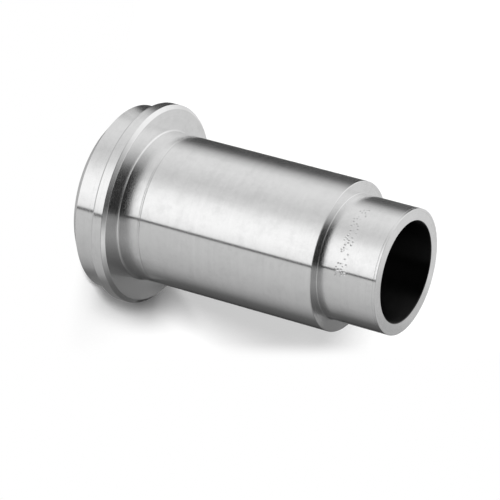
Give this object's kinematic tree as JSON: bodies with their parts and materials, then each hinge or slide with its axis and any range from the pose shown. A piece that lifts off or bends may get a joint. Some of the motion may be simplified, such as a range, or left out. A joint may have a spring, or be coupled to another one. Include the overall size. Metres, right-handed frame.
{
  "type": "face seal gland",
  "caption": "Turned metal sleeve: a collar with a beaded sealing face at one end, a plain body that a nut slides over, and a thin tube stub to weld at the other end.",
  "frame": {"origin": "middle of the plane that the crest of the sealing bead touches, at the bottom of the part", "axes": "+Z along the turning axis, from the sealing face towards the tube stub; X and Y are any two directions across it"},
  "size_m": [0.0205, 0.0204, 0.0336],
  "materials": {
    "turned_steel": "fine turned, satin"
  },
  "bodies": {
    "root": {"gland": "turned_steel"}
  },
  "joints": []
}
